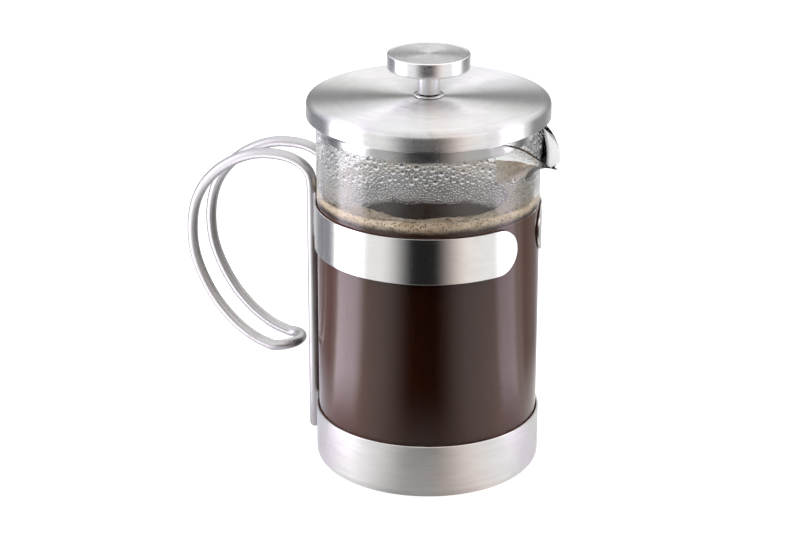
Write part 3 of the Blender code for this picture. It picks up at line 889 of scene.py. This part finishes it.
def buildLid():
    low, high = boxOf("lid_cover")
    hole, r, sheet, edge = lidSettings["hole"], high.x, lidSettings["sheet"], lidSettings["edge"]
    corners = [(hole, high.z, 0.2), (r, high.z, edge), (r, low.z, 0.3), (r - sheet, low.z, 0.3),
               (r - sheet, high.z - sheet, edge - sheet), (hole, high.z - sheet, 0.2)]
    addTurned("lidCover", corners, 8, 192, lidSteel, "lid", "spun_lid", ["lid_cover"])

    low, high = boxOf("lid_liner")
    skirt, sheet, flange = lidSettings["skirt"], lidSettings["linerSheet"], lidSettings["flange"]
    rim = lidSettings["flangeHeight"]
    corners = [(hole, high.z, 0.3), (skirt, high.z, 1.5), (skirt, rim + sheet, 0.8),
               (flange, rim + sheet, 0.4), (flange, rim, 0.4), (skirt, rim, 0.6),
               (skirt, low.z, 0.4), (skirt - sheet, low.z, 0.4),
               (skirt - sheet, high.z - sheet, 1.0), (hole, high.z - sheet, 0.3)]
    addTurned("lidLiner", corners, 5, 144, linerSteel, "lid", "liner_steel", ["lid_liner"])

    low, high = boxOf("rod_bushing")
    bore, tube = lidSettings["eyeletBore"], lidSettings["eyeletTube"]
    corners = [(bore, high.z, 0.25), (high.x, high.z, 0.35), (high.x, high.z - 0.8, 0.2),
               (tube, high.z - 0.8, 0.1), (tube, low.z, 0.3), (bore, low.z, 0.25)]
    addTurned("rodBushing", corners, 4, 64, polishedSteel, "lid", "polished_steel", ["rod_bushing"])

    # hexagon nut with chamfered corners
    low, high = boxOf("bushing_nut")
    steps, flat = 96, lidSettings["nutHalfWidth"]
    # rows are (height, radius); without a radius the row follows the hexagon
    rows = [(low.z, hole), (low.z, flat * 0.97), (low.z + 0.5, None), (high.z - 0.5, None),
            (high.z, flat * 0.97), (high.z, hole)]
    vertices, faces = [], []
    for z, radius in rows:
        for k in range(steps):
            angle = math.tau * k / steps
            hexagon = flat / math.cos((angle + math.pi / 6) % (math.pi / 3) - math.pi / 6)
            vertices.append(polar(radius or hexagon, angle, z))
    for i in range(len(rows)):
        for k in range(steps):
            n, j = (k + 1) % steps, (i + 1) % len(rows)
            faces.append((i * steps + k, i * steps + n, j * steps + n, j * steps + k))
    addPiece("bushingNut", (vertices, faces), polishedSteel, "lid", "polished_steel",
             ["bushing_nut"], sharpAngle=25)


buildLid()
print("lid built")


plungerSettings = {
    "bore": 2.8, "rod": 2.5, "knobEdge": 0.8, "knobFloor": 186.3, "knurls": 24, "hubFloor": 14.2,
    "springTurns": 88, "springRing": 43.9, "springRadius": 1.85, "springWire": 0.36,
    "plateSheet": 0.8, "dish": 3.0, "rimBore": 44.9, "meshPitch": 0.0009,
    # holes as (count, distance from the axis, radius)
    "crossPorts": [(6, 17, 5), (12, 32, 5)], "spiralPorts": [(8, 24, 5)],
}
knobSteel = makeSteel("turnedKnob", (0.74, 0.74, 0.75), 0.24, 0.7, lines=5200, toneLines=1300,
                      tone=0.035, scratch=0.00001)
filterSteel = makeSteel("filterSteel", (0.60, 0.59, 0.58), 0.30, 0.3, lines=6000, tone=0.05)
springSteel = makeSteel("springWire", (0.66, 0.65, 0.64), 0.16, 0.0, lines=4000, tone=0.03,
                        turnedLines=False, scratch=0.000002)


def buildKnobAndRod():
    # the knob's top is turned down a little inside its edge, and the rod ends in a blind hole
    bore, edge = plungerSettings["bore"], plungerSettings["knobEdge"]
    low, high = boxOf("knob_disc")
    r, face, floor = high.x, high.z - 0.12, plungerSettings["knobFloor"]
    corners = [(0, face, 0), (r - 1.3, face, 0.3), (r - 0.9, high.z, 0.3), (r, high.z, edge),
               (r, low.z, edge), (9.0, low.z, 0.4), (8.4, low.z + 0.5, 0.3),
               (bore, low.z + 0.5, 0.1), (bore, floor, 0.2), (0, floor, 0)]
    addTurned("knobDisc", corners, 6, 128, knobSteel, "plunger", "turned_knob", ["knob_disc"],
              closed=False)

    low, high = boxOf("knob_neck")
    r, top = high.x, high.z
    corners = [(bore, top, 0.1), (r, top, 0.15), (r, top - 1.6, 0.2), (r - 0.35, top - 1.8, 0.1),
               (r - 0.35, top - 2.3, 0.1), (r, top - 2.5, 0.2), (r, low.z, 0.6), (bore, low.z, 0.2)]
    addTurned("knobNeck", corners, 4, 64, knobSteel, "plunger", "turned_knob", ["knob_neck"])

    low, high = boxOf("plunger_rod")
    rod = plungerSettings["rod"]
    corners = [(0, high.z, 0), (rod, high.z, 0.4), (rod, low.z + 5.0, 0.1)]
    for i in range(7):  # the thread for the hub
        z = low.z + 4.6 - i * 0.6
        corners += [(rod - 0.28, z, 0), (rod, z - 0.3, 0)]
    corners += [(rod, low.z, 0.4), (0, low.z, 0)]
    addTurned("plungerRod", corners, 4, 48, polishedSteel, "plunger", "polished_steel",
              ["plunger_rod"], closed=False)

    low, high = boxOf("threaded_hub")
    floor = plungerSettings["hubFloor"]
    corners = [(0, floor, 0), (bore, floor, 0), (bore, high.z, 0.2), (high.x, high.z, 0.4),
               (high.x, low.z, 0.7), (0, low.z, 0)]
    vertices, faces = turnedShape(filleted(corners, 4, closed=False), 144, closed=False)
    knurled = []
    for v in vertices:
        r = math.hypot(v.x, v.y)
        if r > high.x - 0.05:
            cutIn = 0.22 * (0.5 + 0.5 * math.cos(plungerSettings["knurls"] * math.atan2(v.y, v.x)))
            v = Vector((v.x * (r - cutIn) / r, v.y * (r - cutIn) / r, v.z))
        knurled.append(v)
    addPiece("threadedHub", (knurled, faces), filterSteel, "plunger", "filter_steel",
             ["threaded_hub"], sharpAngle=40)


def wovenCloth():
    material, tree, output = newMaterial("wovenCloth")
    parts = addNode(tree, "ShaderNodeSeparateXYZ", {0: objectPlace(tree)}).outputs
    perPitch = math.tau / plungerSettings["meshPitch"]
    waves = [doMath(tree, "SINE", times(tree, parts[k], perPitch)) for k in (0, 1)]
    weave = times(tree, waves[0], waves[1])
    wires = doMath(tree, "MAXIMUM", *(doMath(tree, "ABSOLUTE", wave) for wave in waves))
    marks = useGroup(tree, handlingMarks)
    # darker between the wires: painted shade in the gaps of the weave, lighter on the wires
    # themselves
    tint = mixColor(tree, remap(tree, wires, 0.3, 0.9), (0.20, 0.20, 0.20, 1),
                    (0.60, 0.60, 0.59, 1))
    tint = mixColor(tree, times(tree, marks["Smears"], 0.4), tint, (0.42, 0.36, 0.30, 1))
    relief = plus(tree, wires, times(tree, weave, 0.5))
    principled(tree, output, {"Base Color": tint, "Metallic": 1.0,
                              "Roughness": remap(tree, wires, 0.3, 0.9, 0.6, 0.32),
                              "Normal": bumpFrom(tree, 0.00012, relief)})
    return material


def buildFilterStack():
    settings = plungerSettings
    bore, sheet, dish = settings["bore"], settings["plateSheet"], settings["dish"]
    low, high = boxOf("cross_plate")
    r, top = high.x, low.z + sheet
    corners = [(bore, top, 0.1), (r - sheet, top, 0.5), (r - sheet, high.z, 0.25),
               (r, high.z, 0.25), (r, low.z, 0.9), (bore, low.z, 0.1)]
    plate = addTurned("crossPlate", corners, 4, 144, filterSteel, "plunger", "filter_steel",
                      ["cross_plate"])
    drillPorts(plate, settings["crossPorts"], low.z - 1, low.z + 1.6)

    low, high = boxOf("mesh_screen")
    corners = [(bore, low.z, 0), (bore, high.z, 0), (20, high.z, 0), (high.x, high.z, 0.1),
               (high.x, low.z, 0.1), (20, low.z, 0)]
    addTurned("meshScreen", corners, 2, 144, wovenCloth(), "plunger", "woven_mesh", ["mesh_screen"])

    low, high = boxOf("screen_rim")
    inner = settings["rimBore"]
    corners = [(inner, high.z, 0.4), (high.x, high.z, 0.5), (high.x, low.z, 0.5),
               (inner, low.z, 0.4)]
    addTurned("screenRim", corners, 4, 144, filterSteel, "plunger", "filter_steel", ["screen_rim"])

    low, high = boxOf("spiral_plate")
    # a flat middle, a sloping part with the ports, and a flat edge higher up
    base, r = low.z, high.x
    corners = [(bore, base + sheet, 0.1), (12, base + sheet, 2.0), (34, base + dish + sheet, 2.0),
               (r, base + dish + sheet, 0.3), (r, base + dish, 0.3), (34, base + dish, 2.0),
               (12, base, 2.0), (bore, base, 0.1)]
    plate = addTurned("spiralPlate", corners, 5, 144, filterSteel, "plunger", "filter_steel",
                      ["spiral_plate"])
    drillPorts(plate, settings["spiralPorts"], low.z - 1, high.z + 1)

    low, high = boxOf("stop_washer")
    corners = [(bore, high.z, 0.15), (high.x, high.z, 0.3), (high.x, low.z, 0.2),
               (bore, low.z, 0.1)]
    addTurned("stopWasher", corners, 3, 64, filterSteel, "plunger", "filter_steel", ["stop_washer"])

    low, high = boxOf("edge_spring")
    center = (low.z + high.z) / 2
    turns, perTurn, coil = settings["springTurns"], 12, settings["springRadius"]
    points = []
    for i in range(turns * perTurn):
        around, turn = math.tau * i / (turns * perTurn), math.tau * i / perTurn
        points.append(polar(settings["springRing"] + coil * math.cos(turn), around,
                            center + coil * math.sin(turn)))
    addPiece("edgeSpring", tubeShape(points, settings["springWire"], 6, closed=True), springSteel,
             "plunger", "spring_wire", ["edge_spring"], sharpAngle=80)


buildKnobAndRod()
buildFilterStack()
print("plunger built")


coffeeSettings = {"level": 124.6, "wallRadius": 46.78, "skinRadius": 46.4, "neckRadius": 46.5,
                  "skinShine": 0.04}


def buildCoffee():
    c = coffeeSettings
    material, tree, output = newMaterial("blackCoffee")
    clouds = addNoise(tree, objectPlace(tree), 26.0, 4.0)
    tint = mixColor(tree, clouds, (0.010, 0.0022, 0.0005, 1), (0.013, 0.0030, 0.0008, 1))
    # towards the sides, where the eye looks through less coffee, it turns brown: a painted glow of
    # light passing through the thin coffee, set by the viewing angle
    thin = addNode(tree, "ShaderNodeLayerWeight", {"Blend": 0.5}).outputs["Facing"]
    # painted light: lighter brown at grazing angles stands in for light shining through the coffee
    tint = mixColor(tree, remap(tree, thin, 0.035, 0.16), tint, (0.080, 0.030, 0.018, 1))
    principled(tree, output, {"Base Color": tint, "IOR": 1.33,
                              "Roughness": remap(tree, clouds, 0.3, 0.7, 0.04, 0.09),
                              "Normal": bumpFrom(tree, 0.00005, clouds)})
    # it follows the inside of the beaker and reaches a hair into the glass, so no air gap shows
    wall, neck, level = c["wallRadius"], c["neckRadius"], c["level"]
    inner = [(r + 0.08 if r > 1 else r, z - 0.08) for r, z in glassProfile(glassSettings["wall"])]
    profile = [(0, level - 0.4), (neck, level - 0.4), (neck, level - 3.0)]
    profile += [(wall, level - 3.0 - 0.3)]
    profile += [(min(r, wall), z) for r, z in inner if z < level - 6]
    addPiece("coffee", turnedShape(profile, 192, closed=False), material, "glass")

    # the open surface carries an oily film that mirrors very little
    skin, tree, output = newMaterial("coffeeSkin")
    clouds = addNoise(tree, objectPlace(tree), 40.0, 5.0)
    tint = mixColor(tree, clouds, (0.013, 0.0045, 0.0015, 1), (0.022, 0.009, 0.004, 1))
    principled(tree, output, {"Base Color": tint, "IOR": 1.33,
                              "Roughness": remap(tree, clouds, 0.3, 0.7, 0.08, 0.16),
                              "Specular IOR Level": c["skinShine"],
                              "Normal": bumpFrom(tree, 0.00008, clouds)})
    edge = c["skinRadius"]
    profile = [(0, level), (20, level), (edge, level), (edge, level - 0.35), (0, level - 0.35)]
    addPiece("coffeeSurface", turnedShape(profile, 192, closed=False), skin, "glass", sharpAngle=30)


foamSettings = {
    "width": 13.5, "height": 2.6, "depth": 2.7, "backRadius": 46.45, "lowRadius": 46.55,
    "bubbles": 1400, "seed": 41,
    "largeBubble": {"turn": -55.5, "distance": 39.8, "radius": 1.8},
}


def foamEdge(angle):
    # how far the foam reaches in from the glass, uneven round the pot
    place = polar(1, angle, 0)
    broad, fine = noise.noise(place * 1.6), noise.noise(place * 9.0 + Vector((3, 1, 2)))
    return foamSettings["width"] * (1 + 0.22 * broad + 0.07 * fine)


def foamMaterial():
    coffeeLevel, depth = coffeeSettings["level"], foamSettings["depth"]
    material, tree, output = newMaterial("coffeeFoam")
    place = objectPlace(tree)
    cells = addNode(tree, "ShaderNodeTexVoronoi", {"Vector": place, "Scale": 1050.0}).outputs
    smallCells = addNode(tree, "ShaderNodeTexVoronoi",
                         {"Vector": place, "Scale": 2100.0}).outputs["Distance"]
    patches = addNoise(tree, place, 130.0, 4.0)
    chance = addNode(tree, "ShaderNodeSeparateColor", {0: cells["Color"]}).outputs[0]
    core = times(tree, remap(tree, cells["Distance"], 0.22, 0.48, 1.0, 0.0, smooth=True),
                 remap(tree, chance, 0.35, 0.75))
    tint = mixColor(tree, remap(tree, smallCells, 0.1, 0.6), (0.40, 0.31, 0.19, 1),
                    (0.72, 0.61, 0.45, 1))
    tint = mixColor(tree, core, tint, (0.10, 0.055, 0.02, 1))
    tint = mixColor(tree, remap(tree, patches, 0.45, 0.7, 0.0, 0.7), tint, (0.34, 0.24, 0.15, 1))
    # below the surface the froth thins out into the coffee
    level = plus(tree, heightIn(tree, place), remap(tree, patches, 0.3, 0.7, -0.0006, 0.0006))
    thin = remap(tree, level, (coffeeLevel - depth + 0.4) * mm, (coffeeLevel + 0.9) * mm, 1, 0,
                 smooth=True)
    tint = mixColor(tree, thin, tint, (0.026, 0.009, 0.003, 1))
    relief = plus(tree, times(tree, core, -0.8), times(tree, smallCells, 0.4))
    principled(tree, output, {"Base Color": tint, "Normal": bumpFrom(tree, 0.0004, relief),
                              "Roughness": remap(tree, patches, 0.3, 0.7, 0.3, 0.5),
                              "Subsurface Weight": 0.1, "Subsurface Scale": 0.001})
    return material


def buildFoam():
    c, level, wall = foamSettings, coffeeSettings["level"], coffeeSettings["wallRadius"]
    # a lumpy ring lying on the coffee and a little way up the glass
    steps, across, outside = 420, 12, wall - 0.02
    vertices, faces = [], []
    for k in range(steps):
        angle = math.tau * k / steps
        width = foamEdge(angle)
        climb = c["height"] * (1 + 0.4 * noise.noise(polar(1, angle, 5) * 4))
        row = []
        for i in range(across + 1):
            t = i / across
            r = outside - width * t
            z = level + 0.1 + climb * (1 - t) ** 2.2 + 0.55 * math.sin(math.pi * t) ** 0.6
            lump = noise.noise(polar(r, angle, 0) * 0.9)
            row.append((r, z + 0.35 * lump * math.sin(math.pi * min(1, t + 0.05))))
        row += [(outside - width * 0.98, level - 0.2), (c["backRadius"], level - 0.3),
                (c["lowRadius"], level - c["depth"]), (outside, level - c["depth"])]
        vertices += [polar(r, angle, z) for r, z in row]
    size = len(row)
    for k in range(steps):
        n = (k + 1) % steps
        for i in range(size):
            j = (i + 1) % size
            faces.append((k * size + i, k * size + j, n * size + j, n * size + i))
    addPiece("foam", (vertices, faces), foamMaterial(), "glass", sharpAngle=80)

    film = clearMaterial("bubbleFilm", (0.86, 0.76, 0.64, 1), 0.02, 1.2, 0.00001, 400.0)
    rng, shapes, up = random.Random(c["seed"]), [], Vector((0, 0, 1))
    for _ in range(c["bubbles"]):
        angle = rng.uniform(0, math.tau)
        width = foamEdge(angle)
        t = rng.random() ** 1.3
        radius = 0.25 + 0.9 * rng.random() ** 5
        r = min(wall - radius * 0.9 - 0.1, wall - width * t)
        z = level + 0.1 + c["height"] * (1 - t) ** 2.2 + 0.45 * math.sin(math.pi * t) ** 0.6
        shapes.append(domeShape(polar(r, angle, z - radius * 0.15), up, radius, radius * 0.85,
                                10, 3))
    large = c["largeBubble"]
    place = polar(large["distance"], math.radians(large["turn"]), level + 0.9)
    shapes.append(domeShape(place, up, large["radius"], large["radius"] * 0.9, 24, 7))
    addPiece("foamBubbles", merged(shapes), film, "glass", sharpAngle=70)


def domeShape(center, up, radius, height, sides, rows, sag=0.0):
    # a flat-backed dome, heavier at its lower side when it sags
    side = up.orthogonal() if abs(up.z) > 0.9 else up.cross(Vector((0, 0, 1)))
    side = side.normalized()
    other = up.cross(side)
    vertices, faces = [center - up * height * 0.12], []
    for i in range(rows):
        a = math.pi / 2 * i / rows
        for k in range(sides):
            turn = math.tau * k / sides
            p = radius * math.cos(a) * (math.cos(turn) * side + math.sin(turn) * other)
            p += up * height * math.sin(a)
            vertices.append(center + p + Vector((0, 0, -sag * math.sin(a))))
    vertices.append(center + up * height + Vector((0, 0, -sag)))
    for k in range(sides):
        n = (k + 1) % sides
        faces.append((0, 1 + n, 1 + k))
        for i in range(rows - 1):
            low, high = 1 + i * sides, 1 + (i + 1) * sides
            faces.append((low + k, low + n, high + n, high + k))
        last = 1 + (rows - 1) * sides
        faces.append((last + k, last + n, len(vertices) - 1))
    return vertices, faces


dropSettings = {
    "bottom": 128.6, "top": 153.3, "seed": 42,
    # a splash has washed the glass up to this height, round this direction
    "washedTo": 136.2, "washedTurn": -67.5, "washedEdge": 0.72, "washedFull": 0.94,
    "dryAtSpout": 26.0, "dryAbove": 6.0,
    # tries, smallest and largest radius, lowest share of the height, sides, rows
    "sizes": [(1300, 0.9, 1.5, 0.5, 12, 4), (14000, 0.5, 0.8, 0.08, 10, 3),
              (20000, 0.28, 0.46, 0.0, 8, 2)],
    "filmBottom": 128.0, "filmSpout": (42.5, 45.5),
}


def dropLine(angle):
    # lowest height of the condensation
    c = dropSettings
    facing = math.cos(angle - math.radians(c["washedTurn"]))
    washed = (facing - c["washedEdge"]) / (c["washedFull"] - c["washedEdge"])
    washed = min(1.0, max(0.0, washed))
    ragged = noise.noise(polar(1, angle, 0) * 6.0)
    return c["bottom"] + (c["washedTo"] - c["bottom"]) * washed + 1.2 * ragged


def buildCondensation():
    c = dropSettings
    rng = random.Random(c["seed"])
    wall = glassSettings["radius"] - glassSettings["wall"]
    # drops already placed, by cell, so that only near ones are compared
    taken, shapes, cell = {}, [], 3.2
    turns, halfRound = int(math.tau * wall / cell), math.pi * wall
    top = c["top"]
    # big drops first, near the lid, then smaller ones between and below them
    for tries, small, large, lowest, sides, rows in c["sizes"]:
        for _ in range(tries):
            angle = rng.uniform(0, math.tau)
            bottom = dropLine(angle)
            z = rng.uniform(bottom + lowest * (top - bottom), top)
            high = (z - bottom) / (top - bottom)
            turned = math.degrees(angle) - frameSettings["spoutAngle"]
            fromSpout = abs((turned + 180) % 360 - 180)
            if fromSpout < c["dryAtSpout"] and z > glassSettings["spoutRoot"] + c["dryAbove"]:
                continue
            radius = (small + (large - small) * rng.random() ** 1.6) * (0.72 + 0.38 * high)
            key = (int(angle / math.tau * turns), int(z / cell))
            arc = angle * wall
            near = [d for i in (-1, 0, 1) for j in (-1, 0, 1)
                    for d in taken.get(((key[0] + i) % turns, key[1] + j), [])]
            if any(math.hypot((arc - a + halfRound) % (math.tau * wall) - halfRound, z - h)
                   < (radius + size) * 0.97 for a, h, size in near):
                continue
            taken.setdefault(key, []).append((arc, z, radius))
            inward = polar(-1, angle, 0)
            center = pullSpout(polar(wall, angle, z)) - inward * 0.03
            shapes.append(domeShape(center, inward, radius, radius * rng.uniform(0.7, 0.92),
                                    sides, rows, sag=radius * 0.22 * high))
    water = clearMaterial("waterDrops", (1, 1, 1, 1), 0.0, 1.33, 0.00001, 500.0)
    addPiece("condensation", merged(shapes), water, "glass", sharpAngle=75)
    print("drops:", len(shapes))


def breathMaterial(wall):
    # it begins above the washed line and ends before the spout
    c = dropSettings
    material, tree, output = newMaterial("breathFilm")
    place = objectPlace(tree)
    fine = addNode(tree, "ShaderNodeTexVoronoi",
                   {"Vector": place, "Scale": 1500.0}).outputs["Distance"]
    broad = addNoise(tree, place, 70.0, 4.0)
    facing = dotWith(tree, place, polar(1, math.radians(c["washedTurn"]), 0))
    line = remap(tree, facing, c["washedEdge"] * wall * mm, c["washedFull"] * wall * mm,
                 c["bottom"] * mm, c["washedTo"] * mm)
    line = plus(tree, line, remap(tree, broad, 0.3, 0.7, -0.0015, 0.0015))
    above = doMath(tree, "SUBTRACT", heightIn(tree, place), line)
    towardSpout = dotWith(tree, place, polar(1, math.radians(frameSettings["spoutAngle"]), 0))
    starts, ends = c["filmSpout"]
    fade = times(tree, remap(tree, above, -0.0005, 0.0035, smooth=True),
                 remap(tree, towardSpout, starts * mm, ends * mm, 1, 0, smooth=True))
    cover = times(tree, fade, remap(tree, broad, 0.3, 0.7, 0.06, 0.13))
    cover = times(tree, cover, remap(tree, fine, 0.1, 0.7, 1.0, 0.55))
    tint = mixColor(tree, fine, (0.80, 0.81, 0.82, 1), (0.9, 0.9, 0.9, 1))
    principled(tree, output, {"Base Color": tint, "Alpha": cover,
                              "Roughness": remap(tree, broad, 0.3, 0.7, 0.35, 0.6)})
    return material


def buildBreathFilm():
    # the thin breath on the glass between the drops
    wall, bottom = glassSettings["radius"] - glassSettings["wall"], dropSettings["filmBottom"]
    top = dropSettings["top"] + 1
    rows = [(wall - 0.03, bottom + i * (top - bottom) / 12) for i in range(13)]
    rows += [(wall - 0.07, z) for _, z in reversed(rows)]
    vertices, faces = turnedShape(rows, 192)
    addPiece("breathFilm", ([pullSpout(v) for v in vertices], faces), breathMaterial(wall),
             "glass", sharpAngle=80)


buildCoffee()
buildFoam()
buildCondensation()
buildBreathFilm()
print("contents built")
